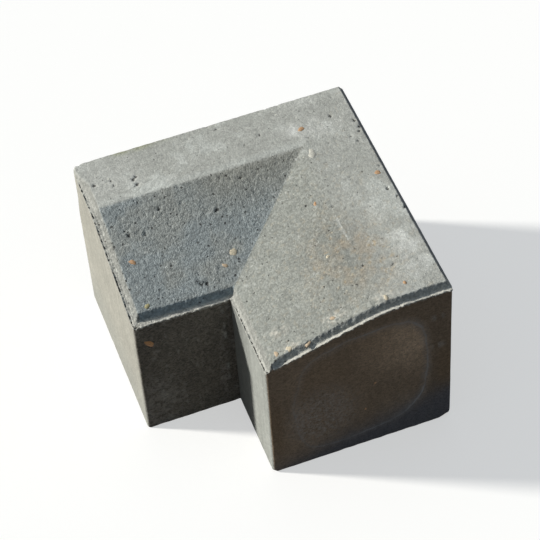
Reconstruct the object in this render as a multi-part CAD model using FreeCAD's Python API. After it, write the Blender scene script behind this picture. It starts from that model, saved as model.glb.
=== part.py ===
"""Internal-angle kerb block: one piece of pressed concrete, L-shaped in plan, in millimetres.

The two arms share the outer corner at (+X, +Y), and the open notch is at (-X, -Y).
A flat strip runs along both outer sides. From it a splay falls towards the notch, and the
splays of the two arms meet in a valley. The press shoe leaves a steep chamfer round the
top, and the shoe's clearance in the mould leaves a narrow ledge outside that chamfer.
The origin is at the centre of the plan's 190 mm square, on the bed face. +Z is up.
"""
import FreeCAD
import Part
import os

# Plan
OUTER_LENGTH = 190.0    # each outer side
ARM_WIDTH = 125.0       # kerb width, from outer side to splay side
CORNER_RADIUS = 2.0     # vertical edges of the mould

# Profile across an arm
HEIGHT = 135.0          # bed face to flat strip
FLAT_WIDTH = 45.0       # level strip along the outer side
SPLAY_FALL = 25.0       # drop from the flat strip to the splay side, before the chamfer
CREASE_RADIUS = 20.0    # easing between flat strip and splay

# Chamfer pressed by the shoe
CHAMFER_RUN = 2.6
CHAMFER_DROP = 4.6
LEDGE = 2.0             # gap between shoe and mould
LEDGE_LEFT = 3.2        # the same gap on the left end, where the shoe sits off centre
LEDGE_OUTER = 0.4       # the same gap along the two outer sides

HALF = OUTER_LENGTH / 2
NOTCH = HALF - ARM_WIDTH            # plan position of the two splay sides
CREASE = HALF - FLAT_WIDTH          # plan position of the line between flat strip and splay
SPLAY_SLOPE = SPLAY_FALL / (ARM_WIDTH - FLAT_WIDTH)
BELOW = -1000.0                     # deep enough that a sheared cutter still clears the bed face
CLEAR = 1.0                         # how far the cutting shapes stand past the block
UPRIGHT = 0.99                      # an edge is vertical if the Z of its direction is above this


def vec(along, across, up, arm_on_x):
    """A point given along and across an arm, in the part's X, Y, Z."""
    return FreeCAD.Vector(along, across, up) if arm_on_x else FreeCAD.Vector(across, along, up)


def profile_wire(along, across_low, across_high, lowered, run, arm_on_x):
    """The arm's cross-section at one place along it, as a closed wire.

    lowered drops the whole top line. run is the width of the chamfer on both long edges,
    with 0 for none.
    """
    def top(across):
        return HEIGHT - max(0.0, CREASE - across) * SPLAY_SLOPE - lowered

    def point(across, up):
        return vec(along, across, up, arm_on_x)

    # The easing is an arc that touches both lines at the same distance from the crease.
    rise = (1 + SPLAY_SLOPE ** 2) ** 0.5
    tangent = CREASE_RADIUS * (rise - 1) / SPLAY_SLOPE
    on_flat = point(CREASE + tangent, top(CREASE))
    on_splay = point(CREASE - tangent / rise, top(CREASE - tangent / rise))
    centre_up = HEIGHT - lowered - CREASE_RADIUS
    half_sine = ((1 - 1 / rise) / 2) ** 0.5
    half_cosine = ((1 + 1 / rise) / 2) ** 0.5
    middle = point(CREASE + tangent - CREASE_RADIUS * half_sine,
                   centre_up + CREASE_RADIUS * half_cosine)

    drop = CHAMFER_DROP if run else 0.0
    outline = [point(across_low, BELOW)]
    outline.append(point(across_low, top(across_low) - drop))
    if run:
        outline.append(point(across_low + run, top(across_low + run)))
    outline.append(on_splay)
    edges = [Part.LineSegment(a, b).toShape() for a, b in zip(outline, outline[1:])]
    edges.append(Part.Arc(on_splay, middle, on_flat).toShape())
    outline = [on_flat]
    if run:
        outline.append(point(across_high - run, top(across_high)))
    outline.append(point(across_high, top(across_high) - drop))
    outline.append(point(across_high, BELOW))
    outline.append(point(across_low, BELOW))
    edges += [Part.LineSegment(a, b).toShape() for a, b in zip(outline, outline[1:])]
    return Part.Wire(edges)


def swept(wire, direction):
    return Part.Face(wire).extrude(direction)


def end_cutter(along, inwards, across_low, across_high, arm_on_x):
    """All that lies under one end's chamfer: the lowered profile, swept up and inwards."""
    wire = profile_wire(along, across_low, across_high, CHAMFER_DROP, 0.0, arm_on_x)
    rise = OUTER_LENGTH * CHAMFER_DROP / CHAMFER_RUN
    return swept(wire, vec(inwards * OUTER_LENGTH, 0, rise, arm_on_x))


def arm(arm_on_x, ledge_end, ledge_low):
    """One arm: the mould-filling body up to the ledge, and the cap that the shoe shapes."""
    length = vec(OUTER_LENGTH, 0, 0, arm_on_x)
    body = swept(profile_wire(-HALF, NOTCH, HALF, CHAMFER_DROP, 0.0, arm_on_x), length)

    low = NOTCH + ledge_low
    high = HALF - LEDGE_OUTER
    free_end = -HALF + ledge_end
    corner_end = HALF - LEDGE_OUTER
    cap = swept(profile_wire(free_end, low, high, 0.0, CHAMFER_RUN, arm_on_x),
                vec(corner_end - free_end, 0, 0, arm_on_x))
    cap = cap.common(end_cutter(free_end, 1, NOTCH - CLEAR, HALF + CLEAR, arm_on_x))
    cap = cap.common(end_cutter(corner_end, -1, NOTCH - CLEAR, HALF + CLEAR, arm_on_x))
    return body.fuse(cap)


def rounded_plan():
    """The L outline with its vertical edges rounded, extruded from the bed face up."""
    notch_side = [(-HALF, NOTCH), (NOTCH, NOTCH), (NOTCH, -HALF)]
    outer_side = [(HALF, -HALF), (HALF, HALF), (-HALF, HALF)]
    corners = notch_side + outer_side
    points = [FreeCAD.Vector(x, y, 0) for x, y in corners]
    outline = Part.makePolygon(points + points[:1])
    prism = Part.Face(outline).extrude(FreeCAD.Vector(0, 0, HEIGHT + CLEAR))
    upright = [e for e in prism.Edges if abs(e.tangentAt(e.FirstParameter).z) > UPRIGHT]
    return prism.makeFillet(CORNER_RADIUS, upright)


def kerb_block():
    arm_along_x = arm(True, ledge_end=LEDGE_LEFT, ledge_low=LEDGE)
    arm_along_y = arm(False, ledge_end=LEDGE, ledge_low=LEDGE)
    block = arm_along_x.fuse(arm_along_y).common(rounded_plan())
    return block.removeSplitter().Solids[0]


os.makedirs("parts", exist_ok=True)
BLOCK = kerb_block()
BLOCK.exportStep("parts/kerb_block.step")
box = BLOCK.BoundBox
print("valid", BLOCK.isValid(), "volume mm3", round(BLOCK.Volume), "faces", len(BLOCK.Faces))
print("x", box.XMin, box.XMax, "y", box.YMin, box.YMax, "z", box.ZMin, box.ZMax)
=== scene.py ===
"""Looks of the internal-angle kerb block: weathered pressed concrete, on a pale floor.

One dense mesh replaces the CAD node. Its plan, profile, chamfer and ledge follow the CAD
solid, and noise, pits and worn corners are moved into its vertices. A second piece holds
the pebbles that show in the surface. Lengths are in millimetres until a mesh is made.
"""
import math

import bpy
import numpy as np
from mathutils import Matrix, Vector


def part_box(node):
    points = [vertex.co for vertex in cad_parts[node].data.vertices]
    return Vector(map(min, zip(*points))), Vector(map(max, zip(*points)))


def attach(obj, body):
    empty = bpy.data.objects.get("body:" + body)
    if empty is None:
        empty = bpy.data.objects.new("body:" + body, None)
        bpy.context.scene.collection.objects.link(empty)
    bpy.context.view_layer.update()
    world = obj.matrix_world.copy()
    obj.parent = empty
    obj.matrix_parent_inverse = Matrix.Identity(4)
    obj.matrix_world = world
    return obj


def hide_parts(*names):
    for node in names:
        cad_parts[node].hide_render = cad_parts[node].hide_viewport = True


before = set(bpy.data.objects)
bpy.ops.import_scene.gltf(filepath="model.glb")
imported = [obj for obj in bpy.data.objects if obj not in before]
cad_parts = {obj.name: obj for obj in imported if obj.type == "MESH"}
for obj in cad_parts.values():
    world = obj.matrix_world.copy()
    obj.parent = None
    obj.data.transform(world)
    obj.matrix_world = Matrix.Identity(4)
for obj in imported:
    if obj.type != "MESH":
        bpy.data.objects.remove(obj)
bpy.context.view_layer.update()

MM = 0.001

# ---------------------------------------------------------------- dimensions of the block
LOW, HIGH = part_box("kerb_block")
HALF = (HIGH.x - LOW.x) / 2 / MM
HEIGHT = (HIGH.z - LOW.z) / MM
ARM_WIDTH = 125.0
FLAT_WIDTH = 45.0
SPLAY_FALL = 25.0
NOTCH = HALF - ARM_WIDTH
CREASE = HALF - FLAT_WIDTH
SPLAY_SLOPE = SPLAY_FALL / (ARM_WIDTH - FLAT_WIDTH)
CREASE_SOFTNESS = 2.0           # on the left arm
CREASE_SOFTNESS_RIGHT = 11.0    # the right arm's crease is rubbed almost flat
VALLEY_SOFTNESS = 0.5
CHAMFER_RUN = 2.6
CHAMFER_DROP = 4.6
LEDGE_OUTER = 0.4       # ledge along the two outer sides
LEDGE_LEFT_END = 3.2
LEDGE_FRONT_END = 1.9
LEDGE_NOTCH = 2.0
LEDGE_LEFT_GAIN = 1.5   # how much wider the left arm's front ledge is at its left end
MOULD_RADIUS = 2.5      # of the plan corners, as they left the mould
WORN_RADIUS = 8.0       # of the left-back one, at the top
CORNER_RADII = {        # plan corners: (x, y, radius at the top)
    "left_front": (-HALF, NOTCH, MOULD_RADIUS),
    "notch_front": (NOTCH, -HALF, MOULD_RADIUS),
    "right_front": (HALF, -HALF, MOULD_RADIUS),
    "outer": (HALF, HALF, MOULD_RADIUS),
    "left_back": (-HALF, HALF, WORN_RADIUS),
}
CHIPS = [               # foot corners that are knocked off: the corner, and the break's reach
    ((HALF, -HALF, 0), (9.0, 7.0, 5.0)),
    ((NOTCH, -HALF, 0), (3.5, 3.5, 3.0)),
    ((-HALF, NOTCH, 0), (2.5, 2.5, 2.5)),
]
FOOT_RADIUS = 1.1

# ---------------------------------------------------------------- relief of the top
WAVE_HEIGHT = 0.25
GRAIN_HEIGHT = 0.15
CLUSTER_HEIGHT = 0.11
HOLLOW_DEPTH = 0.45
CRUMB_HEIGHT = 0.45
CRUMBLY_HEIGHT = 0.9    # at the crumbly spots
BURR_WIDTH = 0.6
GROOVE_PLACE = 0.8      # in from the side
GROOVE_DEPTH = 0.55
TOOTH_REACH = 0.9
SMALL_PITS = 110
COARSE_LEFT_SPLAY = 1.0     # how open the grain is, against the left splay's
COARSE_FLAT = 0.52
COARSE_RIGHT_SPLAY = 0.78
COARSE_WALL = 0.42

# ---------------------------------------------------------------- mesh
FINE_STEP = 0.5
FINE_BAND = 7.0
COARSE_STEP = 0.85
WALL_TOP_OFFSETS = [0.6, 1.4, 2.6, 4.2, 6.2]
WALL_FOOT_HEIGHTS = [6.0, 3.6, 2.0, 1.0, 0.4, 0.0]
WALL_MIDDLE_ROWS = 28
BED_INSET = 4.0
TOUCH = 0.01            # points this close to a line are on it
FACING = 0.7            # a side faces an axis if its outward direction has more than this of it
NO_ARM = -1000.0        # the height of an arm where that arm isn't

# ---------------------------------------------------------------- marks on the top, in X and Y
NOTABLE_PITS = [
    (-59, 67), (-61, 65), (-74, 65), (-75, 70), (-86, 70), (-60, 60), (48, 92), (39, 92), (-2, 92),
    (3, 87), (28, 71), (77, 69), (90, 59), (91, 53), (86, 41), (83, 47), (88, -5), (91, -14), (92, -24),
    (-53, 38), (-44, 35), (-18, 26), (-67, 24), (-79, 30), (-77, 27), (-45, -18), (-41, -19), (-43, -17),
    (4, 42), (-66, 48), (-64, 46), (50, -5), (35, 5), (50, -58), (-16, -38), (-15, -61),
]
PEBBLE_RISE = 0.45
PEBBLE_SCALE = 1.28
ORANGE = (0.43, 0.26, 0.14)
TAN = (0.44, 0.34, 0.23)
BUFF = (0.52, 0.46, 0.34)
PALE = (0.50, 0.49, 0.43)
OLIVE = (0.38, 0.34, 0.18)
RUST = (0.52, 0.26, 0.10)
PEBBLES = [             # place, half length, half width, colour. A place with a height is on a front side.
    ((55, 65), 1.9, 1.5, ORANGE), ((54, 42), 3.2, 2.1, PALE), ((87, 10), 1.9, 1.3, ORANGE),
    ((41, 3), 1.4, 0.9, ORANGE), ((-81, 9), 1.9, 1.4, ORANGE), ((-18, -4), 2.5, 1.9, BUFF),
    ((-26, -11), 1.5, 1.1, TAN), ((-82, -21), 1.7, 1.3, OLIVE), ((-12, -89), 2.0, 1.4, BUFF),
    ((0, -91), 2.1, 1.5, TAN), ((-20, -88), 1.8, 1.2, TAN), ((33, -40), 1.2, 0.9, BUFF),
    ((53, -88), 1.7, 1.2, BUFF), ((19, -84), 1.6, 1.1, TAN), ((68, -82), 1.2, 0.9, ORANGE),
    ((-86, -30, 87), 3.1, 1.9, RUST), ((42, -95, 61), 0.9, 0.8, ORANGE), ((35, -95, 37), 0.8, 0.7, ORANGE),
]
CRUMBLY_SPOTS = [(52, -86), (20, -84), (-8, -89), (-14, -74)]
SCRATCH_CENTRE = (49, -24)
BROWN_STAIN = ((46, -48), (46, 54))     # centre, radii, and the same below
DIM_STAIN = ((40, -40), (38, 50))
RIGHT_BLOOM = ((82, -58), (13, 34))     # the blooms are of white lime
CORNER_BLOOM = ((66, 74), (34, 26))
LEFT_BLOOM = ((-78, 72), (34, 34))
PEBBLE_HALO = ((51, 64), (8, 9))
MOSSY_EDGE = ((-50, HALF), (30, 14))

# ---------------------------------------------------------------- marks on the front sides, in X and Z
PALE_FOOT = ((-84, 22), (22, 40))       # on the left arm, as are the next three
LIME_RUN_X = -36
SCUFFED_FOOT = ((-84, 24), (24, 40))
SCUFFED_RUN = ((-39, 40), (3.5, 45))
SCUFFED_PATCH = ((6, 45), (32, 36))     # on the front end, as is the rest
SCUFFED_RIGHT = ((60, 30), (30, 20))
SCRAPE_HEIGHTS = (81, 109.5)            # at the right edge
RUSTY_SIDES = [((90, 58), (10, 32)), ((-26, 45), (9, 50))]
PATCH_CENTRE = (33.0, 63.0)             # a dried damp patch: a rounded square that leans with the top edge
PATCH_RADII = (46.5, 51.0)
PATCH_TILT = 0.14
PATCH_POWER = 3.4
PATCH_GLOW = ((68, 94), (48, 44))
PATCH_HAZE = ((4, 44), (34, 38))

# ---------------------------------------------------------------- concrete colours, linear
FLAT_GREY = (0.385, 0.392, 0.362)
FLAT_PALE = (0.50, 0.52, 0.49)
LEFT_SPLAY = (0.266, 0.296, 0.298)
WARM_SPLAY = (0.262, 0.259, 0.224)
EARTHY_SPLAY = (0.265, 0.265, 0.235)
RIGHT_SPLAY = (0.278, 0.288, 0.262)
CHAMFER_SHADED_FRONT = (0.30, 0.36, 0.385)     # faces the front, away from the key light; its blue is painted cool shade
CHAMFER_END = (0.43, 0.445, 0.42)
# painted shade: the right-facing chamfer's tone, dimmed as it faces away from the key light
CHAMFER_SHADED_SIDE = (0.24, 0.25, 0.265)
CHAMFER_LIT = (0.275, 0.28, 0.26)
LEDGE_GREY = (0.50, 0.49, 0.44)
SIDE_LEDGE_GREY = (0.40, 0.40, 0.365)
CREAM = (0.395, 0.390, 0.345)
NOTCH_GREY = (0.345, 0.36, 0.335)
FRONT_BROWN = (0.372, 0.288, 0.208)
# the left arm's front side: a dark grey that is partly its own tone and partly painted shade
SHADED_FRONT_GREY = (0.160, 0.145, 0.120)
SIDE_GREY = (0.33, 0.335, 0.305)
BROWN = (0.275, 0.197, 0.125)
WARM = (0.36, 0.30, 0.22)
NAVY = (0.14, 0.165, 0.21)
MOSS = (0.24, 0.25, 0.14)
WHITE = (0.60, 0.61, 0.58)
SAND_TAN = (0.46, 0.36, 0.22)
CRUMB_CREAM = (0.60, 0.57, 0.50)
HAZE_CREAM = (0.56, 0.45, 0.37)
SCUFF_CREAM = (0.60, 0.555, 0.51, 1.0)
PATCH_RIM_BLUE = (0.55, 0.56, 0.58, 1.0)
PORE_SHADE_TINT = (0.30, 0.29, 0.29, 1.0)     # tints multiply the stone's own colour; the pore one is painted shade in the pores and pits
SPECK_TINT = (1.9, 1.85, 1.7, 1.0)


# ================================================================ noise and masks
def value_noise(points, size, seed):
    """Smooth noise from -1 to 1 at each point, with features of about the given size.

    Every pattern on the block has a seed of its own.
    """
    table = np.random.default_rng(seed).uniform(-1, 1, 4096)
    place = points / size + 50.0 + seed
    cell = np.floor(place).astype(np.int64)
    part = place - cell
    part = part * part * (3 - 2 * part)
    total = np.zeros(len(points))
    for corner in np.ndindex(2, 2, 2):
        shifted = cell + corner
        key = shifted[:, 0] * 73856093 ^ shifted[:, 1] * 19349663 ^ shifted[:, 2] * 83492791
        weight = np.prod(np.where(corner, part, 1 - part), axis=1)
        total += weight * table[key & 4095]
    return total


def fractal(points, size, seed, octaves=3):
    """The same with finer, weaker layers added."""
    shares = [0.5 ** i for i in range(octaves)]
    layers = [value_noise(points, size * share, seed + i) * share for i, share in enumerate(shares)]
    return sum(layers) / sum(shares)


def ramp(value, low, high):
    """0 below low, 1 above high, eased between. low may be the larger one."""
    t = np.clip((value - low) / (high - low), 0, 1)
    return t * t * (3 - 2 * t)


def soft_positive(value, softness):
    """The value where it is positive and 0 where it isn't, with a rounded bend between."""
    return 0.5 * (value + np.sqrt(value * value + softness * softness))


def spot(u, v, centre, radii, softness):
    """1 in the middle of an ellipse, easing to 0 at its edge."""
    r = np.hypot((u - centre[0]) / radii[0], (v - centre[1]) / radii[1])
    return ramp(r, 1.0, 1.0 - softness)


def blend(colours, target, amount):
    return colours + (np.array(target) - colours) * np.clip(amount, 0, 1)[:, None]


def pits(u, v, centres, radii, depths):
    """Depth of round pits, at the points (u, v)."""
    depth = np.zeros(len(u))
    for (cu, cv), radius, deep in zip(centres, radii, depths):
        r = np.hypot(u - cu, v - cv) / radius
        depth = np.maximum(depth, deep * np.exp(-r ** 3))
    return depth


# ================================================================ shape
def arm_surface(along, across, points, ledge_end, ledge_low, crease_softness, worn):
    """Height of one arm's top and the distance inside its ledge, which is negative on the ledge.

    worn, from 0 to 1, is how far the end's ledge and chamfer are rubbed away.
    """
    fall = SPLAY_SLOPE * soft_positive(CREASE - across, crease_softness)
    crumble = 0.45 * value_noise(points, 1.3, 31) + 0.20 * value_noise(points, 4.0, 32)
    crumble *= np.where((along > HALF - 9) | (across > HALF - 9), 0.3, 1.4)
    inside = np.minimum.reduce([
        along + HALF - ledge_end * (1 - worn) + CHAMFER_RUN * worn,
        across - NOTCH - ledge_low,
        HALF - LEDGE_OUTER - along,
        HALF - LEDGE_OUTER - across,
    ])
    drop = CHAMFER_DROP * (1 - np.clip(inside / (CHAMFER_RUN + crumble), 0, 1))
    return HEIGHT - fall - drop, inside


def top_surface(x, y):
    """Height of the block's top at plan points, and which part of it each point is on."""
    points = np.column_stack([x, y, np.zeros(len(x))])
    low_ledge = LEDGE_NOTCH + LEDGE_LEFT_GAIN * ramp(x, NOTCH, -HALF)
    worn_back = 0.85 * ramp(y, HALF - 26, HALF - 7)
    left_arm, left_inside = arm_surface(
        x, y, points, LEDGE_LEFT_END, low_ledge, CREASE_SOFTNESS, worn_back)
    away_from_valley = ramp(y, CREASE - 4, CREASE - 50)
    softness = CREASE_SOFTNESS + (CREASE_SOFTNESS_RIGHT - CREASE_SOFTNESS) * away_from_valley
    worn_notch = 0.6 * ramp(x, NOTCH + 16, NOTCH + 3)
    right_arm, right_inside = arm_surface(
        y, x, points, LEDGE_FRONT_END, LEDGE_NOTCH, softness, worn_notch)
    left_arm = np.where(y >= NOTCH - TOUCH, left_arm, NO_ARM)
    right_arm = np.where(x >= NOTCH - TOUCH, right_arm, NO_ARM)
    on_left = left_arm >= right_arm
    height = np.maximum(left_arm, right_arm)
    both = (left_arm > NO_ARM) & (right_arm > NO_ARM)
    height = np.where(both, left_arm + soft_positive(right_arm - left_arm, VALLEY_SOFTNESS), height)
    return height, on_left, np.where(on_left, left_inside, right_inside)


def edge_distance(x, y):
    """Distance from a plan point to the nearest side of the L."""
    to_notch = np.where((x >= NOTCH) & (y >= NOTCH), np.hypot(x - NOTCH, y - NOTCH),
                        np.where(x < NOTCH, y - NOTCH, x - NOTCH))
    return np.minimum.reduce([x + HALF, HALF - x, y + HALF, HALF - y, to_notch])


def round_corners(x, y, largest=WORN_RADIUS):
    """Moves plan points so that the L's square corners become round, by no more than largest."""
    x, y = x.copy(), y.copy()
    for corner_x, corner_y, worn_radius in CORNER_RADII.values():
        radius = min(worn_radius, largest)
        side_x, side_y = np.sign(corner_x), np.sign(corner_y)
        from_centre_x = radius - (corner_x - x) * side_x
        from_centre_y = radius - (corner_y - y) * side_y
        near = (from_centre_x > 0) & (from_centre_y > 0)
        ux, uy = from_centre_x[near], from_centre_y[near]
        shrink = np.maximum(ux, uy) / np.hypot(ux, uy)
        x[near] = corner_x - (radius - ux * shrink) * side_x
        y[near] = corner_y - (radius - uy * shrink) * side_y
    return x, y


def graded_lines():
    """Grid lines across the L, closer together beside each of its sides."""
    stretches = [
        (-HALF, -HALF + FINE_BAND, FINE_STEP),
        (-HALF + FINE_BAND, NOTCH, COARSE_STEP),
        (NOTCH, NOTCH + FINE_BAND, FINE_STEP),
        (NOTCH + FINE_BAND, HALF - FINE_BAND, COARSE_STEP),
        (HALF - FINE_BAND, HALF, FINE_STEP),
    ]
    lines = [np.array([-HALF])]
    for start, end, step in stretches:
        lines.append(np.linspace(start, end, round((end - start) / step) + 1)[1:])
    return np.concatenate(lines)


def build_shell():
    """The block's skin as one grid: vertices, faces, and what part of the skin each vertex is in."""
    lines = graded_lines()
    last = len(lines) - 1
    bend = int(np.argmin(np.abs(lines - NOTCH)))
    grid_x, grid_y = np.meshgrid(lines, lines, indexing="ij")
    used = ~((grid_x < NOTCH - TOUCH) & (grid_y < NOTCH - TOUCH))
    number = np.full(grid_x.shape, -1)
    number[used] = np.arange(used.sum())
    plan_x, plan_y = grid_x[used], grid_y[used]

    cell = used[:-1, :-1] & used[1:, :-1] & used[1:, 1:] & used[:-1, 1:]
    i, j = np.nonzero(cell)
    faces = [np.column_stack([number[i, j], number[i + 1, j], number[i + 1, j + 1], number[i, j + 1]])]

    rim = [(i, bend) for i in range(0, bend)]
    rim += [(bend, j) for j in range(bend, 0, -1)]
    rim += [(i, 0) for i in range(bend, last)]
    rim += [(last, j) for j in range(0, last)]
    rim += [(i, last) for i in range(last, 0, -1)]
    rim += [(0, j) for j in range(last, bend, -1)]
    loop = np.array([number[i, j] for i, j in rim])

    height, on_left, inside = top_surface(plan_x, plan_y)
    left_splay = on_left & (plan_y < CREASE)
    right_splay = (~on_left) * ramp(plan_x, CREASE + 8, CREASE - 8)
    elsewhere = COARSE_FLAT + (COARSE_RIGHT_SPLAY - COARSE_FLAT) * right_splay
    coarse = np.where(left_splay, COARSE_LEFT_SPLAY, elsewhere)
    x, y = round_corners(plan_x, plan_y)
    top = np.column_stack([x, y, height])

    rim_points = top[loop]
    along = np.roll(rim_points, -1, axis=0) - np.roll(rim_points, 1, axis=0)
    outward = np.column_stack([along[:, 1], -along[:, 0], np.zeros(len(loop))])
    outward /= np.linalg.norm(outward, axis=1)[:, None]

    rim_height = rim_points[:, 2]
    rows = [rim_height - offset for offset in WALL_TOP_OFFSETS]
    share = np.arange(1, WALL_MIDDLE_ROWS + 1) / (WALL_MIDDLE_ROWS + 1)
    high_row = rows[-1]
    rows += [high_row + (WALL_FOOT_HEIGHTS[0] - high_row) * s for s in share]
    rows += [np.full(len(loop), h) for h in WALL_FOOT_HEIGHTS]
    # A corner that is worn at the top is as sharp as the mould made it lower down.
    sharp_plan = np.column_stack(round_corners(plan_x[loop], plan_y[loop], MOULD_RADIUS))
    walls = []
    for row in rows:
        down = ramp(rim_height - row, 4.0, 50.0)[:, None]
        walls.append(np.column_stack([rim_points[:, :2] * (1 - down) + sharp_plan * down, row]))
    walls.append(walls[-1] - outward * BED_INSET)

    count = len(loop)
    ring = loop
    following = np.roll(np.arange(count), -1)
    start = len(top)
    for _ in walls:
        lower = start + np.arange(count)
        faces.append(np.column_stack([ring, lower, lower[following], ring[following]]))
        ring = lower
        start += count
    # The underside is two convex faces that meet on the L's diagonal.
    outer_corner = bend + 2 * last
    right_half = ring[bend:outer_corner + 1]
    left_half = np.concatenate([ring[outer_corner:], ring[:bend + 1]])
    bed_faces = [right_half[::-1].tolist(), left_half[::-1].tolist()]

    points = np.vstack([top] + walls)
    wall_rows = len(walls)
    normals = np.vstack([np.tile([0.0, 0.0, 1.0], (len(top), 1))] + [outward] * wall_rows)
    is_wall = np.zeros(len(points), bool)
    is_wall[len(top):] = True
    return {
        "points": points,
        "quads": np.vstack(faces),
        "bed_faces": bed_faces,
        "outward": normals,
        "coarse": np.concatenate([coarse, np.full(count * wall_rows, COARSE_WALL)]),
        "rim": loop,
        "rim_outward": outward,
        "first_wall_row": len(top) + np.arange(count),
        "is_wall": is_wall,
        "plan": np.vstack([np.column_stack([plan_x, plan_y])] + [rim_points[:, :2]] * wall_rows),
        "inside": np.concatenate([inside] + [np.full(count, -9.0)] * wall_rows),
        "on_left": np.concatenate([on_left, np.zeros(count * wall_rows, bool)]),
        "bed": np.arange(len(points)) >= len(points) - count,
    }


# ================================================================ relief
def face_relief(points, shell, top):
    """How far each top vertex stands up: long waves, sand grain, crumbs and shallow hollows."""
    plan_x, plan_y = shell["plan"].T
    sandy = 0.8 + 0.5 * ramp(value_noise(points, 16.0, 11), -0.2, 0.5)
    grains = GRAIN_HEIGHT * value_noise(points, 1.2, 1)
    clusters = CLUSTER_HEIGHT * value_noise(points, 2.4, 2)
    fine = sandy * (grains + clusters) * shell["coarse"]
    broad = WAVE_HEIGHT * fractal(points, 38.0, 3)
    front_end = ramp(plan_y, -HALF + 16, -HALF + 4) * top
    crumbs = CRUMB_HEIGHT * np.clip(value_noise(points, 2.4, 5), 0, 1) * front_end
    crumbs *= ramp(value_noise(points, 11, 6), -0.2, 0.5)
    rough_spots = sum(spot(plan_x, plan_y, place, (10, 6), 0.8) for place in CRUMBLY_SPOTS)
    crumbs += CRUMBLY_HEIGHT * rough_spots * top * np.clip(value_noise(points, 1.7, 7), -0.3, 1)
    on_face = ramp(shell["inside"], 1.5, 5.0)
    hollows = ramp(value_noise(points, 1.9, 12) + 0.3 * value_noise(points, 7.0, 17), 0.45, 0.95)
    hollows = HOLLOW_DEPTH * hollows * on_face * shell["coarse"] ** 2
    return fine + broad * on_face + crumbs - hollows


def burr_and_groove(points, shell, top):
    """The ragged lip where the concrete squeezed up between shoe and mould, highest on the
    left-facing sides, and the broken groove behind it."""
    plan_x, plan_y = shell["plan"].T
    inside = shell["inside"]
    distance = np.where(top, edge_distance(plan_x, plan_y), 0)
    leftward = (plan_x < -HALF + 4) | ((plan_x < NOTCH + 4) & (plan_y < NOTCH))
    outer_side = (plan_x > HALF - 2) | (plan_y > HALF - 2)
    corner_fade = ramp(plan_y, HALF - 6, HALF - 14)

    ragged = np.clip(0.35 + 0.9 * value_noise(points, 1.6, 8) + 0.5 * value_noise(points, 6.0, 9), 0, 1.3)
    burr = ragged * np.clip(1 - distance / BURR_WIDTH, 0, 1) * np.where(leftward, corner_fade, 0.7)
    burr *= np.where(outer_side, 0.3, 1.0)
    burr = np.where(inside < 1.0, burr, 0)

    broken = ramp(value_noise(points, 1.5, 10) + 0.4 * value_noise(points, 9.0, 13), -0.15, 0.25)
    groove = leftward * corner_fade * ramp(np.abs(distance - GROOVE_PLACE), 0.6, 0.2) * broken
    groove *= (inside < 1.5) * top
    return burr, groove


def scattered_pits(points, shell, top):
    """Depth of the top's pits: the notable ones listed, and small ones anywhere."""
    random = np.random.default_rng(471)
    plan_x, plan_y = shell["plan"].T
    centres = np.vstack([NOTABLE_PITS, random.uniform(-HALF + 4, HALF - 4, (SMALL_PITS, 2))])
    radii = np.concatenate([
        random.uniform(0.8, 1.3, len(NOTABLE_PITS)), random.uniform(0.5, 0.85, SMALL_PITS)])
    depths = radii * random.uniform(0.55, 0.9, len(radii))
    wander_x = plan_x + value_noise(points, 1.2, 21)    # so that their outlines aren't round
    wander_y = plan_y + value_noise(points, 1.2, 22)
    return pits(wander_x, wander_y, centres, radii, depths) * ramp(shell["inside"], 0.4, 2.2) * top


def add_teeth(points, shell):
    """Pulls out the crumbs of the burr that hang over the front-facing sides."""
    rim, outward = shell["rim"], shell["rim_outward"]
    first_row = shell["first_wall_row"]
    along_rim = points[rim] * [1, 1, 0]
    tooth = 0.3 + 1.3 * value_noise(along_rim, 0.9, 23) + 0.5 * value_noise(along_rim, 4.0, 24)
    tooth = TOOTH_REACH * np.clip(tooth, 0, 1.3) * ramp(outward[:, 1], -0.4, -0.9)
    hang = np.clip(1.6 * value_noise(along_rim, 1.1, 25), 0, 1)
    points[rim] += outward * tooth[:, None]
    points[first_row] += outward * tooth[:, None]
    points[first_row + len(rim)] += outward * (0.8 * tooth * hang)[:, None]


def chip(points, corner, reach):
    """Knocks a foot corner off: reach gives how far the break runs along X, Y and Z."""
    inward = np.sign([-corner[0], -corner[1], HEIGHT / 2 - corner[2]])
    local = (points - corner) * inward
    slope = 1 / np.array(reach)
    size = np.linalg.norm(slope)
    near = np.all(local > -2.0, axis=1) & np.all(local < np.array(reach) * 1.5, axis=1)
    rough = 0.35 * value_noise(points, 2.5, 77)
    beyond = (1 - local @ slope) / size + rough
    push = np.where(near & (beyond > 0), beyond, 0)
    return points + push[:, None] * (slope / size) * inward


def relief(shell):
    """The shell's vertices with the wear moved into them, and how deep each one is in a pit."""
    points, wall = shell["points"].copy(), shell["is_wall"]
    top = ~wall
    burr, groove = burr_and_groove(points, shell, top)
    pit = scattered_pits(points, shell, top)
    up = face_relief(points, shell, top) + burr - GROOVE_DEPTH * groove - pit
    points[:, 2] += np.where(top, up, 0)

    # Walls: mould drag up and down, and a slow swell.
    drag = 0.06 * value_noise(points * [1, 1, 0.16], 2.6, 14) + 0.035 * value_noise(points, 3.0, 15)
    swell = 0.12 * fractal(points, 50.0, 16)
    out = np.where(wall & ~shell["bed"], drag + swell, 0)
    add_teeth(points, shell)

    # Foot: the bottom edge is rubbed round, unevenly.
    foot = FOOT_RADIUS * (1 + 0.3 * value_noise(points, 5.0, 18))
    part = np.clip(1 - points[:, 2] / foot, 0, 1)
    out -= np.where(wall, foot * (1 - np.sqrt(1 - part ** 2)), 0)
    points += shell["outward"] * np.where(wall, out, 0)[:, None]

    for corner, reach in CHIPS:
        points = chip(points, corner, reach)
    points[:, 2] = np.where(shell["bed"], 0.0, np.maximum(points[:, 2], 0.0))
    # The groove is handed on with the pits, so that it takes their painted shade too.
    return points, np.maximum(pit, 0.65 * groove)


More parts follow.
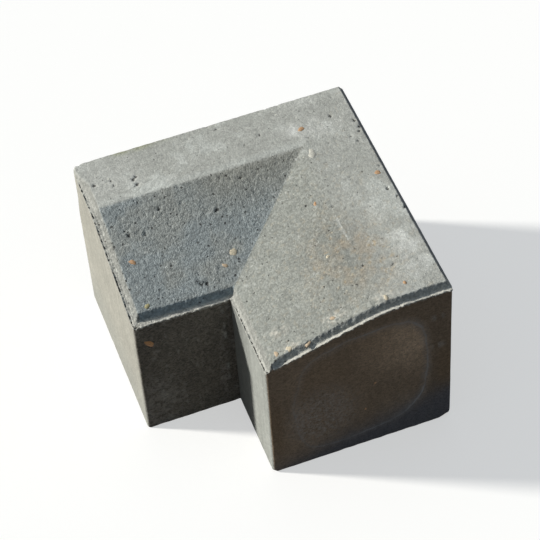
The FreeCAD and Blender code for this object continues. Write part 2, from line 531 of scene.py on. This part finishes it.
# ================================================================ colour of each vertex
def top_ground(shell, wavy, mottle):
    """Cement tones of the flat strips and the splays, without marks."""
    plan_x, plan_y = shell["plan"].T
    on_left = shell["on_left"]
    across = HALF - np.where(on_left, plan_y, plan_x)
    sharp = ramp(across + 0.5 * mottle, FLAT_WIDTH + 1.0, FLAT_WIDTH - 1.5)
    soft = ramp(across + 3 * mottle + 5 * wavy, FLAT_WIDTH + 12, FLAT_WIDTH - 16)
    flat = np.where(on_left, sharp, soft)

    splay = np.where(on_left[:, None], LEFT_SPLAY, RIGHT_SPLAY)
    near_back = on_left * ramp(across, FLAT_WIDTH + 42, FLAT_WIDTH)
    splay = blend(splay, WARM_SPLAY, 0.8 * near_back * ramp(plan_x + 12 * mottle, -65, -5))
    splay = blend(splay, EARTHY_SPLAY, 0.5 * on_left * ramp(wavy + 0.4 * mottle, -0.05, 0.5))

    stone = blend(splay, FLAT_GREY, flat)
    stone = blend(stone, FLAT_PALE, 0.55 * flat * ramp(mottle + wavy, 0.0, 0.7))
    crease_line = ramp(np.abs(across - FLAT_WIDTH + 3.0), 4.5, 0.5) * on_left
    stone = blend(stone, FLAT_PALE, 0.45 * crease_line)
    stone = stone * (1 + 0.10 * wavy + 0.07 * mottle)[:, None]
    right_strip = (~on_left) * ramp(plan_y, 50, 20) * flat
    return blend(stone, RIGHT_SPLAY, 0.15 * right_strip), flat


def top_marks(stone, shell, points, flat, wavy, mottle):
    """Stains, grains, lime blooms, the scratch, crumbly spots and moss on the top."""
    plan_x, plan_y = shell["plan"].T
    on_left = shell["on_left"]
    uneven = ramp(mottle + 0.5 * value_noise(points, 3.0, 45), -0.5, 0.6)
    brown = spot(plan_x, plan_y, *BROWN_STAIN, 0.95) * uneven
    stone = blend(stone, WARM, 0.62 * brown)

    warm_grains = ramp(value_noise(points, 1.6, 46), 0.35, 0.75) * (0.2 + brown) * (~on_left)
    stone = blend(stone, SAND_TAN, 0.7 * warm_grains)
    pale_grains = ramp(value_noise(points, 1.4, 47), 0.5, 0.8) * ramp(mottle, -0.5, 0.5)
    stone = blend(stone, WHITE, 0.45 * pale_grains)
    dark_grains = ramp(value_noise(points, 1.5, 48), 0.5, 0.85) * ramp(wavy, -0.5, 0.5)
    stone = stone * (1 - 0.28 * dark_grains)[:, None]
    stone = stone * (1 - 0.18 * spot(plan_x, plan_y, *DIM_STAIN, 0.9))[:, None]

    right_bloom = spot(plan_x, plan_y, *RIGHT_BLOOM, 0.8) * ramp(mottle, -0.5, 0.4)
    stone = blend(stone, WHITE, 0.8 * right_bloom)
    corner_bloom = spot(plan_x, plan_y, *CORNER_BLOOM, 0.8) * ramp(wavy, -0.5, 0.4)
    stone = blend(stone, WHITE, 0.75 * corner_bloom)
    stone = blend(stone, WHITE, 0.22 * flat * spot(plan_x, plan_y, *LEFT_BLOOM, 0.9))
    halo = spot(plan_x, plan_y, *PEBBLE_HALO, 0.8) * ramp(mottle, -0.7, 0.2)
    stone = blend(stone, WHITE, 0.95 * halo)

    off_scratch = np.abs(plan_x - SCRATCH_CENTRE[0] - 0.8 * mottle)
    scratch = ramp(off_scratch, 0.9, 0.2) * ramp(np.abs(plan_y - SCRATCH_CENTRE[1]), 13, 9)
    stone = blend(stone, WHITE, 0.45 * scratch)
    crumbly = sum(spot(plan_x, plan_y, place, (11, 6), 0.8) for place in CRUMBLY_SPOTS)
    crumbly = crumbly * ramp(value_noise(points, 1.6, 43), -0.1, 0.35)
    stone = blend(stone, CRUMB_CREAM, 0.55 * crumbly)
    moss = ramp(HALF - plan_y, 9, 2) * spot(plan_x, plan_y, *MOSSY_EDGE, 0.6) * ramp(mottle, -0.6, 0.3)
    return blend(stone, MOSS, 0.75 * moss)


def top_edge(stone, shell, points):
    """The chamfer's tones, with painted shade on the right-facing side and on the left arm's front, and the
    ledge's own tones, fading at the worn left-back corner.
    """
    plan_x, plan_y = shell["plan"].T
    inside = shell["inside"]
    tone = np.tile(CHAMFER_LIT, (len(points), 1))
    # Painted shade: the right-facing chamfer takes a dimmed tone.
    tone = np.where((plan_x > HALF - 8)[:, None], CHAMFER_SHADED_SIDE, tone)
    front_of_left = shell["on_left"] & (plan_x > -HALF + 6) & (plan_y < NOTCH + 8)
    # Painted cool shade: the left arm's front-facing chamfer takes its shaded tone.
    tone = np.where(front_of_left[:, None], CHAMFER_SHADED_FRONT, tone)
    front_of_right = (plan_y < -HALF + 8) & (plan_x > NOTCH + 5)
    tone = np.where(front_of_right[:, None], CHAMFER_END, tone)
    tone = tone * (1 + 0.35 * value_noise(points, 1.2, 44))[:, None]

    worn_corner = ramp(plan_x, -HALF + 14, -HALF + 8) * ramp(plan_y, HALF - 24, HALF - 6)
    chamfer = ramp(inside, CHAMFER_RUN + 0.4, CHAMFER_RUN - 0.5)
    stone = blend(stone, tone, 0.88 * chamfer * (1 - worn_corner))

    ledge = np.where((plan_y < NOTCH + 6)[:, None], LEDGE_GREY, SIDE_LEDGE_GREY)
    notch_side = (plan_x < NOTCH + 4) & (plan_x > NOTCH - 1) & (plan_y < NOTCH)
    ledge = np.where(notch_side[:, None], SIDE_LEDGE_GREY, ledge)
    return blend(stone, ledge, ramp(inside, 0.5, -0.2) * (1 - 0.7 * worn_corner))


def paint_top(shell, points):
    wavy = fractal(points, 26.0, 41)
    mottle = fractal(points, 9.0, 42)
    stone, flat = top_ground(shell, wavy, mottle)
    stone = top_marks(stone, shell, points, flat, wavy, mottle)
    return top_edge(stone, shell, points)


def marked_sides(shell, points):
    """Which vertices are on each of the four sides that have marks of their own."""
    x, y, _ = points.T
    faces_left = shell["outward"][:, 0] < -FACING
    faces_front = shell["outward"][:, 1] < -FACING
    return {
        "left_end": faces_left & (x < NOTCH - 5),
        "notch": faces_left & (x >= NOTCH - 5),
        "left_arm_front": faces_front & (y > NOTCH - 5),
        "front_end": faces_front & (y <= NOTCH - 5),
    }


def superellipse(u, v, centre, radii, power):
    """1 on the outline of a rounded square, less inside it and more outside."""
    share_u = np.abs((u - centre[0]) / radii[0])
    share_v = np.abs((v - centre[1]) / radii[1])
    return (share_u ** power + share_v ** power) ** (1 / power)


def left_arm_front_marks(stone, on_side, points, wavy, dots):
    """Pale lower left, one dotted lime run, crumbs below the left corner and grey speckle."""
    x, _, z = points.T
    pale = spot(x, z, *PALE_FOOT, 0.8) * ramp(dots, -0.5, 0.6)
    stone = blend(stone, WHITE, 0.20 * on_side * pale)
    run = ramp(np.abs(x - LIME_RUN_X + 1.2 * wavy), 1.4, 0.3) * ramp(z, 5, 40)
    run *= ramp(value_noise(points, 3.0, 55), -0.1, 0.5)
    stone = blend(stone, WHITE, 0.6 * on_side * run)
    frayed = ramp(x, -HALF + 5, -HALF + 1) * ramp(z, 90, 106)
    frayed *= ramp(value_noise(points, 1.2, 57), -0.2, 0.2)
    stone = blend(stone, LEDGE_GREY, 0.8 * on_side * frayed)
    return blend(stone, WHITE, 0.18 * on_side * ramp(dots, 0.35, 0.75))


def front_end_marks(stone, on_side, points, wavy, mottle, dots):
    """The dried damp patch is brown inside and dark outside, above a cold foot. Then scuffs."""
    x, _, z = points.T
    level = z - PATCH_TILT * (x - PATCH_CENTRE[0])
    r = superellipse(x, level, PATCH_CENTRE, PATCH_RADII, PATCH_POWER) + 0.035 * wavy
    inner = on_side * ramp(r, 1.0, 0.86)
    outer = on_side * ramp(r, 0.97, 1.1)
    stone = stone * (1 - 0.25 * outer * ramp(x, -10, 25))[:, None]
    stone = stone * (1 + 0.04 * on_side * ramp(r, 1.05, 0.9) * ramp(wavy, -0.5, 0.5))[:, None]
    stone = stone * (1 + 1.1 * inner * spot(x, z, *PATCH_GLOW, 0.95))[:, None]
    stone = blend(stone, BROWN, 0.40 * inner * ramp(wavy, -0.4, 0.5))
    stone = blend(stone, NAVY, 0.70 * on_side * ramp(z - 0.25 * x + 4 * mottle, 26, -2))

    haze = on_side * spot(x, z, *PATCH_HAZE, 0.9) * ramp(wavy + 1.5 * mottle, -0.3, 0.6)
    stone = blend(stone, HAZE_CREAM, 0.30 * haze)
    rust = sum(spot(x, z, *place, 0.8) for place in RUSTY_SIDES)
    stone = blend(stone, BROWN, 0.6 * on_side * rust)
    leaning = z - 0.2 * (x - HALF + 1)
    scrapes = sum(ramp(np.abs(leaning - height), 1.3, 0.3) for height in SCRAPE_HEIGHTS)
    scrapes = scrapes * on_side * ramp(x, 76, 84) * ramp(dots, -0.4, 0.3)
    return blend(stone, WHITE, 0.45 * scrapes)


def paint_walls(shell, points):
    _, y, z = points.T
    wavy = fractal(points, 30.0, 51)
    mottle = fractal(points, 8.0, 52)
    dots = value_noise(points, 2.2, 53)
    streak = value_noise(points * [1, 1, 0.08], 3.0, 54)
    sides = marked_sides(shell, points)
    left_end, notch = sides["left_end"], sides["notch"]
    left_arm_front, front_end = sides["left_arm_front"], sides["front_end"]

    stone = np.tile(np.array(SIDE_GREY), (len(points), 1))
    # The left arm's front takes a grey that is partly painted shade.
    tones = (CREAM, NOTCH_GREY, SHADED_FRONT_GREY, FRONT_BROWN)
    for on_side, tone in zip((left_end, notch, left_arm_front, front_end), tones):
        stone = np.where(on_side[:, None], tone, stone)
    small_dots = value_noise(points, 1.5, 58)
    shade = 1 + 0.12 * wavy + 0.05 * mottle + 0.08 * streak + 0.04 * dots
    shade += (0.16 * dots + 0.14 * small_dots) * left_arm_front
    shade += (0.07 * dots + 0.08 * small_dots) * front_end
    stone = stone * shade[:, None]

    # Notch: painted shade where the left arm shades the notch face, darkest towards the inner corner. Left
    # end: grey dust towards the foot.
    stone = stone * (1 - 0.36 * notch * ramp(y, -72, -45))[:, None]
    stone = blend(stone, NOTCH_GREY, 0.5 * left_end * ramp(z, 60, 0))
    stone = left_arm_front_marks(stone, left_arm_front, points, wavy, dots)
    stone = front_end_marks(stone, front_end, points, wavy, mottle, dots)

    # Every wall: the last millimetre under the burr, where its crumbs hang, is painted pale: a painted
    # highlight of the burr's lit edge, strongest on the two front sides.
    rim_height, _, _ = top_surface(*shell["plan"].T)
    rim_reach = 0.8 + 1.5 * value_noise(points * [1, 1, 0], 1.0, 56)
    rubbed = ramp(rim_height - z, rim_reach + 0.5, rim_reach - 0.5)
    return blend(stone, LEDGE_GREY, rubbed * np.where(left_arm_front | front_end, 0.85, 0.45))


def paint(shell, points, pit):
    colours = np.where(shell["is_wall"][:, None], paint_walls(shell, points), paint_top(shell, points))
    # Painted shade in the pits and in the groove behind the burr.
    colours *= (1 - 0.15 * np.clip(pit / 0.9, 0, 1))[:, None]
    return np.clip(colours, 0.005, 0.9)


# ================================================================ meshes
def add_numbers(mesh, name, values):
    """Stores one number for each vertex, for the material to read."""
    mesh.attributes.new(name, "FLOAT", "POINT").data.foreach_set("value", np.asarray(values, np.float32))


def make_mesh(name, points, faces, colours):
    mesh = bpy.data.meshes.new(name)
    mesh.from_pydata((points * MM).tolist(), [], faces)
    mesh.validate()
    attribute = mesh.color_attributes.new("stone_colour", "FLOAT_COLOR", "POINT")
    rgba = np.column_stack([colours, np.ones(len(points))]).astype(np.float32)
    attribute.data.foreach_set("color", rgba.ravel())
    mesh.polygons.foreach_set("use_smooth", [True] * len(mesh.polygons))
    mesh.update()
    piece = bpy.data.objects.new(name, mesh)
    bpy.context.scene.collection.objects.link(piece)
    return piece


def scuffing(points, front_end, left_arm_front):
    """How thickly pale grains lie on the two front sides."""
    x, _, z = points.T
    scuff = 1.6 * front_end * spot(x, z, *SCUFFED_PATCH, 0.7)
    scuff += 0.35 * front_end * spot(x, z, *SCUFFED_RIGHT, 0.9)
    scuff += left_arm_front * (0.22 + 0.5 * spot(x, z, *SCUFFED_FOOT, 0.8))
    scuff += 0.8 * left_arm_front * spot(x, z, *SCUFFED_RUN, 0.6)
    return scuff


def block_piece(shell, points, pit):
    faces = shell["quads"].tolist() + shell["bed_faces"]
    piece = make_mesh("kerb_block_concrete", points, faces, paint(shell, points, pit))
    for polygon in piece.data.polygons[-len(shell["bed_faces"]):]:
        polygon.use_smooth = False

    wall, coarse = shell["is_wall"], shell["coarse"]
    sides = marked_sides(shell, points)
    front_end, left_arm_front = sides["front_end"], sides["left_arm_front"]
    hidden_side = wall & (np.max(shell["outward"][:, :2], axis=1) > FACING)
    open_face = np.select([hidden_side, wall], [0.75, 0.22], 0.25 + 0.75 * coarse)
    speckle = np.select([front_end, left_arm_front], [0.45, 0.85], coarse * 0.5)
    add_numbers(piece.data, "pit_depth", pit)
    add_numbers(piece.data, "coarse", coarse)
    add_numbers(piece.data, "open_face", open_face)
    add_numbers(piece.data, "front_end", front_end)
    add_numbers(piece.data, "speckle", speckle)
    add_numbers(piece.data, "scuff", scuffing(points, front_end, left_arm_front))
    return piece


def bedding(points, is_wall, place):
    """Where a pebble lies and the way it faces. A place with no height is on the top."""
    if len(place) == 3:
        return np.array(place, float), np.array([0.0, -1.0, 0.0])
    flat_distance = np.hypot(points[:, 0] - place[0], points[:, 1] - place[1])
    near = np.argsort(flat_distance + HEIGHT * is_wall)[:24]
    height = points[near, 2].mean()
    outward = np.array([0.0, 0.0, 1.0])
    if height < HEIGHT - 1.5:
        outward[0 if place[0] > place[1] else 1] = -SPLAY_SLOPE
    return np.array([place[0], place[1], height]), outward / np.linalg.norm(outward)


def pebble(place, outward, length, width, turn):
    """One pebble, as points and faces: a low, uneven dome that faces outward."""
    side = np.cross(outward, [math.sin(turn), math.cos(turn), 0.3])
    side /= np.linalg.norm(side)
    ahead = np.cross(outward, side)
    rings, around = 5, 14
    points, faces = [], []
    for ring in range(rings + 1):
        tilt = math.pi * (ring / rings) * 0.62
        for step in range(around):
            angle = 2 * math.pi * step / around
            lumpy = 1 + 0.13 * math.sin(2 * angle + 5 * turn) + 0.09 * math.sin(3 * angle + turn)
            lumpy += 0.09 * math.sin(5 * angle + 3 * turn)
            reach = PEBBLE_SCALE * math.sin(tilt) * lumpy
            offset = side * (length * reach * math.cos(angle)) + ahead * (width * reach * math.sin(angle))
            points.append(place + offset + outward * (PEBBLE_RISE * math.cos(tilt) * 1.6 - 0.25))
    for ring in range(rings):
        for step in range(around):
            a = ring * around + step
            b = ring * around + (step + 1) % around
            faces.append([a, a + around, b + around, b])
    faces.append([rings * around + step for step in range(around)])
    return np.array(points), faces


def pebbles_piece(surface, is_wall):
    points, faces, colours = [], [], []
    for index, (place, length, width, colour) in enumerate(PEBBLES):
        centre, outward = bedding(surface, is_wall, place)
        own_points, own_faces = pebble(centre, outward, length, width, 1.7 * index)
        start = sum(len(block) for block in points)
        faces += [[start + v for v in face] for face in own_faces]
        points.append(own_points)
        colours += [colour] * len(own_points)
    return make_mesh("exposed_pebbles", np.vstack(points), faces, np.array(colours))


# ================================================================ materials
class Nodes:
    """Short names for adding shader nodes."""

    def __init__(self, material):
        material.use_nodes = True
        self.tree = material.node_tree
        self.tree.nodes.clear()

    def add(self, kind, settings=None, **inputs):
        node = self.tree.nodes.new(kind)
        for key, value in (settings or {}).items():
            setattr(node, key, value)
        for key, value in inputs.items():
            socket = node.inputs[int(key[1:])] if key[0] == "i" and key[1:].isdigit() else node.inputs[key]
            if isinstance(value, bpy.types.NodeSocket):
                self.tree.links.new(value, socket)
            else:
                socket.default_value = value
        return node

    def math(self, operation, a, b=0.0):
        return self.add("ShaderNodeMath", {"operation": operation}, i0=a, i1=b).outputs[0]

    def map(self, value, low, high, to_low, to_high):
        return self.add("ShaderNodeMapRange", None, Value=value, **{
            "From Min": low, "From Max": high, "To Min": to_low, "To Max": to_high}).outputs[0]

    def mix(self, blend_type, factor, a, b):
        node = self.add("ShaderNodeMix", {"data_type": "RGBA", "blend_type": blend_type})
        for index, value in ((0, factor), (6, a), (7, b)):
            if isinstance(value, bpy.types.NodeSocket):
                self.tree.links.new(value, node.inputs[index])
            else:
                node.inputs[index].default_value = value
        return node.outputs[2]

    def stored(self, name, output="Fac"):
        """What the mesh stores under this name."""
        return self.add("ShaderNodeAttribute", {"attribute_name": name}).outputs[output]

    def noise(self, place, scale, detail, roughness=0.5):
        """The scale is in features per metre, as in cells."""
        return self.add("ShaderNodeTexNoise", None, Vector=place, Scale=scale, Detail=detail,
                        Roughness=roughness).outputs["Fac"]

    def cells(self, place, scale):
        """A distance from the middle of each cell, and the random colour of each cell."""
        node = self.add("ShaderNodeTexVoronoi", None, Vector=place, Scale=scale)
        colour = self.add("ShaderNodeSeparateColor", None, Color=node.outputs["Color"])
        return node.outputs["Distance"], colour.outputs

    def grey(self, value):
        return self.add("ShaderNodeCombineColor", None, Red=value, Green=value, Blue=value).outputs[0]


def patch_rim(n, place):
    """The pale line round the damp patch on the front end, as a mixing factor."""
    axes = n.add("ShaderNodeSeparateXYZ", None, Vector=place)
    across = n.math("SUBTRACT", axes.outputs["X"], PATCH_CENTRE[0] * MM)
    up = n.math("SUBTRACT", axes.outputs["Z"], PATCH_CENTRE[1] * MM)
    up = n.math("SUBTRACT", up, n.math("MULTIPLY", across, PATCH_TILT))
    terms = []
    for value, radius in ((across, PATCH_RADII[0]), (up, PATCH_RADII[1])):
        share = n.math("ABSOLUTE", n.math("DIVIDE", value, radius * MM))
        terms.append(n.math("POWER", share, PATCH_POWER))
    r = n.math("POWER", n.math("ADD", *terms), 1 / PATCH_POWER)
    waver = n.noise(place, 45.0, 4.0)
    r = n.math("ADD", r, n.map(waver, 0.3, 0.7, -0.035, 0.035))
    line = n.map(n.math("ABSOLUTE", n.math("SUBTRACT", r, 0.975)), 0.003, 0.020, 1.0, 0.0)
    haze = n.map(n.math("ABSOLUTE", n.math("SUBTRACT", r, 0.965)), 0.0, 0.090, 0.60, 0.0)
    worn = n.noise(place, 110.0, 3.0)
    line = n.math("MULTIPLY", n.math("ADD", line, haze), n.map(worn, 0.38, 0.58, 0.22, 0.42))
    line = n.math("MULTIPLY", line, n.map(axes.outputs["X"], -0.010, 0.065, 0.55, 1.2))
    return n.math("MULTIPLY", line, n.stored("front_end"))


def pore_mask(n, stirred, stir):
    """Pores and pits: few of the cells hold a pore, and its size differs from cell to cell."""
    distance, pick = n.cells(stirred, 330.0)
    size = n.math("MULTIPLY", n.map(pick[0], 0.52, 1.0, 0.0, 0.30), n.stored("open_face"))
    pore = n.map(n.math("SUBTRACT", size, distance), 0.0, 0.07, 0.0, 1.0)
    torn = n.math("ADD", n.stored("pit_depth"), n.map(stir, 0.3, 0.7, -0.2, 0.2))
    return n.math("MAXIMUM", pore, n.map(torn, 0.38, 0.58, 0.0, 1.0))


def speck_mask(n, stirred):
    """Pale grains of sand, in half of the cells."""
    distance, pick = n.cells(stirred, 260.0)
    size = n.map(pick[1], 0.5, 1.0, 0.0, 0.20)
    return n.map(n.math("SUBTRACT", size, distance), 0.0, 0.08, 0.0, 0.5)


def scuff_mask(n, place):
    """Pale grit, thicker where the mesh says."""
    grit = n.noise(place, 420.0, 4.0, 0.8)
    return n.math("MULTIPLY", n.map(grit, 0.44, 0.66, 0.0, 0.62), n.stored("scuff"))


def concrete_material():
    """Cement grey from the mesh's colours, broken up by sand grains, pale specks, and pores darkened with
    painted shade.
    """
    material = bpy.data.materials.new("weathered_concrete")
    n = Nodes(material)
    place = n.add("ShaderNodeTexCoord").outputs["Object"]
    cloud = n.noise(place, 330.0, 4.0, 0.7)
    sand_distance, sand_tone = n.cells(place, 950.0)
    stone = n.stored("stone_colour", "Color")
    stone = n.mix("MULTIPLY", 1.0, stone, n.grey(n.map(cloud, 0.3, 0.7, 0.84, 1.16)))
    stone = n.mix("MULTIPLY", n.stored("speckle"), stone, n.grey(n.map(sand_tone[0], 0.0, 1.0, 0.50, 1.50)))

    # The cells of the pores and specks are stirred, so that none of them is round.
    stir = n.add("ShaderNodeTexNoise", None, Vector=place, Scale=900.0, Detail=2.0)
    stirred = n.add("ShaderNodeVectorMath", {"operation": "MULTIPLY_ADD"},
                    i0=stir.outputs["Color"], i1=(0.0016, 0.0016, 0.0016), i2=place).outputs[0]
    pore = pore_mask(n, stirred, stir.outputs["Fac"])
    # Painted shade: the pores and pits are darkened.
    stone = n.mix("MIX", pore, stone, n.mix("MULTIPLY", 1.0, stone, PORE_SHADE_TINT))
    stone = n.mix("MIX", speck_mask(n, stirred), stone, n.mix("MULTIPLY", 1.0, stone, SPECK_TINT))
    stone = n.mix("MIX", scuff_mask(n, place), stone, SCUFF_CREAM)
    stone = n.mix("MIX", patch_rim(n, place), stone, PATCH_RIM_BLUE)

    grain = n.noise(place, 1100.0, 3.0, 0.7)
    height = n.math("ADD", n.math("MULTIPLY", grain, 0.35), n.math("MULTIPLY", sand_tone[0], 0.45))
    height = n.math("SUBTRACT", height, n.math("MULTIPLY", sand_distance, 0.9))
    height = n.math("SUBTRACT", height, n.math("MULTIPLY", pore, 2.0))
    bump = n.add("ShaderNodeBump", None, Strength=n.stored("coarse"), Distance=0.00028, Height=height)
    rough = n.map(cloud, 0.3, 0.7, 0.82, 0.98)
    shader = n.add("ShaderNodeBsdfPrincipled", None, Roughness=rough, Normal=bump.outputs[0],
                   **{"Base Color": stone})
    shader.inputs["Specular IOR Level"].default_value = 0.25
    n.add("ShaderNodeOutputMaterial", None, Surface=shader.outputs[0])
    return material


def pebble_material():
    """River gravel: smoother than the cement round it, with faint clouding."""
    material = bpy.data.materials.new("river_pebble")
    n = Nodes(material)
    place = n.add("ShaderNodeTexCoord").outputs["Object"]
    stone = n.stored("stone_colour", "Color")
    cloud = n.noise(place, 900.0, 3.0, 0.6)
    stone = n.mix("MULTIPLY", 1.0, stone, n.grey(n.map(cloud, 0.3, 0.7, 0.62, 1.25)))
    bump = n.add("ShaderNodeBump", None, Strength=0.6, Distance=0.0002, Height=cloud)
    shader = n.add("ShaderNodeBsdfPrincipled", None, Normal=bump.outputs[0], **{"Base Color": stone})
    shader.inputs["Roughness"].default_value = 0.6
    n.add("ShaderNodeOutputMaterial", None, Surface=shader.outputs[0])
    return material


def view_ray(n):
    """1 for rays that show a surface to the camera, straight or in a reflection."""
    path = n.add("ShaderNodeLightPath")
    shown = n.math("MAXIMUM", path.outputs["Is Camera Ray"], path.outputs["Is Glossy Ray"])
    return n.math("MAXIMUM", shown, path.outputs["Is Transmission Ray"])


def floor_material():
    """White to the camera, with the block's shadow on it; a dull warm ground to the block."""
    material = bpy.data.materials.new("studio_floor")
    n = Nodes(material)
    glow = n.add("ShaderNodeEmission", None, Color=SEEN_WHITE, Strength=0.53)
    lit = n.add("ShaderNodeBsdfDiffuse", None, Color=(0.46, 0.46, 0.455, 1.0))
    seen = n.add("ShaderNodeAddShader", None, i0=glow.outputs[0], i1=lit.outputs[0])
    ground = n.add("ShaderNodeBsdfDiffuse", None, Color=(0.09, 0.075, 0.06, 1.0))
    floor = n.add("ShaderNodeMixShader", None, Fac=view_ray(n), i1=ground.outputs[0], i2=seen.outputs[0])
    n.add("ShaderNodeOutputMaterial", None, Surface=floor.outputs[0])
    return material


# ================================================================ studio
KEY_DIRECTION = (-1.0, 0.5, 0.68)   # towards the key light
KEY_STRENGTH = 4.8
KEY_SPREAD = 5.0                    # degrees across
KEY_COLOUR = (1.0, 0.97, 0.91)
SKY_COLOUR = (0.80, 0.95, 1.12, 1.0)
SEEN_WHITE = (1.0, 1.0, 0.99, 1.0)
FLOOR_HALF = 6.0                    # metres
CAMERA_AIM = (0.0126, 0.0200, 0.060)
CAMERA_DISTANCE = 1.4454
CAMERA_AZIMUTH = 16.64              # degrees from +Y towards +X
CAMERA_ELEVATION = 49.73
CAMERA_ROLL = -4.54
CAMERA_LENS = 144.34


def make_floor():
    corners = [(x * FLOOR_HALF, y * FLOOR_HALF, 0) for x, y in ((-1, -1), (1, -1), (1, 1), (-1, 1))]
    mesh = bpy.data.meshes.new("studio_floor")
    mesh.from_pydata(corners, [], [(0, 1, 2, 3)])
    mesh.materials.append(floor_material())
    floor = bpy.data.objects.new("studio_floor", mesh)
    bpy.context.scene.collection.objects.link(floor)


def make_light():
    lamp = bpy.data.lights.new("key", "SUN")
    lamp.energy = KEY_STRENGTH
    lamp.angle = math.radians(KEY_SPREAD)
    lamp.color = KEY_COLOUR
    key = bpy.data.objects.new("key", lamp)
    key.rotation_euler = Vector(KEY_DIRECTION).to_track_quat("Z", "Y").to_euler()
    bpy.context.scene.collection.objects.link(key)


def make_world():
    """A cool overhead fill that fades towards the horizon. The camera sees plain white."""
    world = bpy.data.worlds.new("studio")
    bpy.context.scene.world = world
    n = Nodes(world)
    direction = n.add("ShaderNodeTexCoord").outputs["Generated"]
    up = n.add("ShaderNodeSeparateXYZ", None, Vector=direction).outputs["Z"]
    level = n.map(n.math("MULTIPLY", up, up), 0.0, 1.0, 0.015, 0.46)
    level = n.math("MULTIPLY", level, n.math("GREATER_THAN", up, 0.0))
    fill = n.add("ShaderNodeBackground", None, Color=SKY_COLOUR, Strength=level)
    seen = n.add("ShaderNodeBackground", None, Color=SEEN_WHITE, Strength=0.96)
    sky = n.add("ShaderNodeMixShader", None, Fac=view_ray(n), i1=fill.outputs[0], i2=seen.outputs[0])
    n.add("ShaderNodeOutputWorld", None, Surface=sky.outputs[0])


def make_camera():
    azimuth, elevation = math.radians(CAMERA_AZIMUTH), math.radians(CAMERA_ELEVATION)
    forward = Vector((math.sin(azimuth) * math.cos(elevation),
                      math.cos(azimuth) * math.cos(elevation),
                      -math.sin(elevation)))
    turn = forward.to_track_quat("-Z", "Y").to_matrix() @ Matrix.Rotation(math.radians(CAMERA_ROLL), 3, "Z")
    data = bpy.data.cameras.new("camera")
    data.lens = CAMERA_LENS
    data.clip_start = 0.01
    camera = bpy.data.objects.new("camera", data)
    camera.matrix_world = Matrix.Translation(Vector(CAMERA_AIM) - forward * CAMERA_DISTANCE) @ turn.to_4x4()
    bpy.context.scene.collection.objects.link(camera)
    bpy.context.scene.camera = camera


shell = build_shell()
shaped_points, pit_depth = relief(shell)
block = block_piece(shell, shaped_points, pit_depth)
block.data.materials.append(concrete_material())
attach(block, "root")
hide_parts("kerb_block")

pebbles = pebbles_piece(shaped_points, shell["is_wall"])
pebbles.data.materials.append(pebble_material())
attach(pebbles, "root")

make_floor()
make_light()
make_world()
make_camera()
bpy.context.scene.view_settings.view_transform = "Standard"
